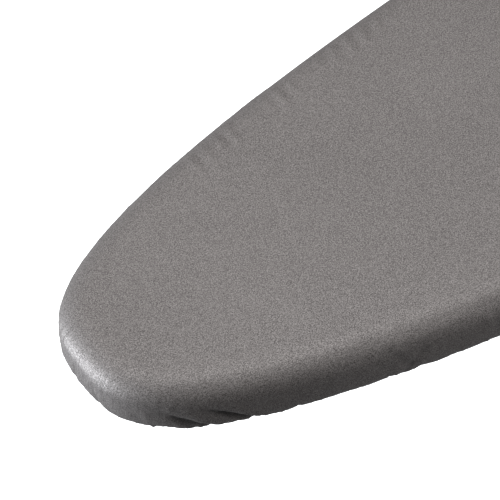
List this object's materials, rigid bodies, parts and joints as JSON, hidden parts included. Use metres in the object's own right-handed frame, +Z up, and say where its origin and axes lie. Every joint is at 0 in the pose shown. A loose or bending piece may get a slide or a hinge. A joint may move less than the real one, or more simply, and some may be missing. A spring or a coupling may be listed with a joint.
{
  "type": "ironing board",
  "caption": "Padded ironing board with a blunt tapering nose on a folding scissor stand; a lever frees a friction lock on a rod to set the height or fold it flat.",
  "frame": {"origin": "on the floor, under the middle of the board", "axes": "+X along the board towards its square tail, nose at -X, +Z up"},
  "size_m": [1.37, 0.412, 0.9],
  "materials": {
    "metallised_cover": "silver-grey metallised cotton, satin sheen with fine sparkle",
    "felt_pad": "needled felt",
    "elastic": "braided elastic",
    "deck_paint": "satin powder coat",
    "leg_paint": "semi-gloss powder coat",
    "zinc_steel": "bright zinc plate",
    "black_plastic": "fine moulded texture",
    "grey_plastic": "smooth moulded"
  },
  "bodies": {
    "board": {"cover": "metallised_cover", "pad": "felt_pad", "mesh_top": "deck_paint", "rim": "deck_paint", "hem_elastic": "elastic", "cross_strap_1": "deck_paint", "cross_strap_2": "deck_paint", "cross_strap_3": "deck_paint", "cross_strap_4": "deck_paint", "guide_rail_left": "deck_paint", "guide_rail_right": "deck_paint", "hinge_bracket_left": "deck_paint", "hinge_bracket_right": "deck_paint", "hinge_pin_left": "zinc_steel", "hinge_pin_right": "zinc_steel", "lock_rod": "zinc_steel", "rod_bracket_nose": "deck_paint", "rod_bracket_tail": "deck_paint"},
    "outer_leg": {"outer_leg_left": "leg_paint", "outer_leg_right": "leg_paint", "outer_plug_left": "black_plastic", "outer_plug_right": "black_plastic", "outer_foot_bar": "leg_paint", "outer_foot_left": "black_plastic", "outer_foot_right": "black_plastic", "crossing_bolt_left": "zinc_steel", "crossing_bolt_right": "zinc_steel", "crossing_nut_left": "zinc_steel", "crossing_nut_right": "zinc_steel", "crossing_spacer_left": "black_plastic", "crossing_spacer_right": "black_plastic"},
    "inner_leg": {"inner_leg_left": "leg_paint", "inner_leg_right": "leg_paint", "inner_foot_bar": "leg_paint", "inner_foot_left": "black_plastic", "inner_foot_right": "black_plastic", "slide_bar": "zinc_steel", "slide_plug_left": "black_plastic", "slide_plug_right": "black_plastic", "glide_left": "grey_plastic", "glide_right": "grey_plastic"},
    "slide_carriage": {"carriage_housing": "zinc_steel", "lock_spring": "zinc_steel", "lever_pin": "zinc_steel"},
    "lock_tilt": {"lock_plate": "zinc_steel"},
    "lever": {"release_lever": "zinc_steel", "lever_grip": "black_plastic"}
  },
  "joints": [
    {"name": "leg_fold", "type": "hinge", "parent": "board", "child": "outer_leg", "pos_m": [0.585, 0, 0.838], "axis": [0, 1, 0], "range_deg": [0, 45.84]},
    {"name": "leg_crossing", "type": "hinge", "parent": "outer_leg", "child": "inner_leg", "pos_m": [0.20183, 0, 0.44344], "axis": [0, 1, 0], "range_deg": [-91.68, 0]},
    {"name": "carriage_level", "type": "hinge", "parent": "inner_leg", "child": "slide_carriage", "pos_m": [-0.18134, 0, 0.838], "axis": [0, 1, 0], "range_deg": [0, 45.84]},
    {"name": "lever_squeeze", "type": "hinge", "parent": "slide_carriage", "child": "lever", "pos_m": [-0.15484, 0, 0.8325], "axis": [0, -1, 0], "range_deg": [0, 14], "stiffness_Nm_per_rad": 0.5, "springref_deg": -17.19},
    {"name": "plate_tilt", "type": "hinge", "parent": "slide_carriage", "child": "lock_tilt", "pos_m": [-0.16534, 0, 0.87], "axis": [0, 1, 0], "range_deg": [0, 6]}
  ],
  "couplings": [
    {"joint": "leg_crossing", "follows": "leg_fold", "ratio": -2},
    {"joint": "carriage_level", "follows": "leg_fold", "ratio": 1},
    {"joint": "plate_tilt", "follows": "lever_squeeze", "ratio": 0.42857}
  ]
}
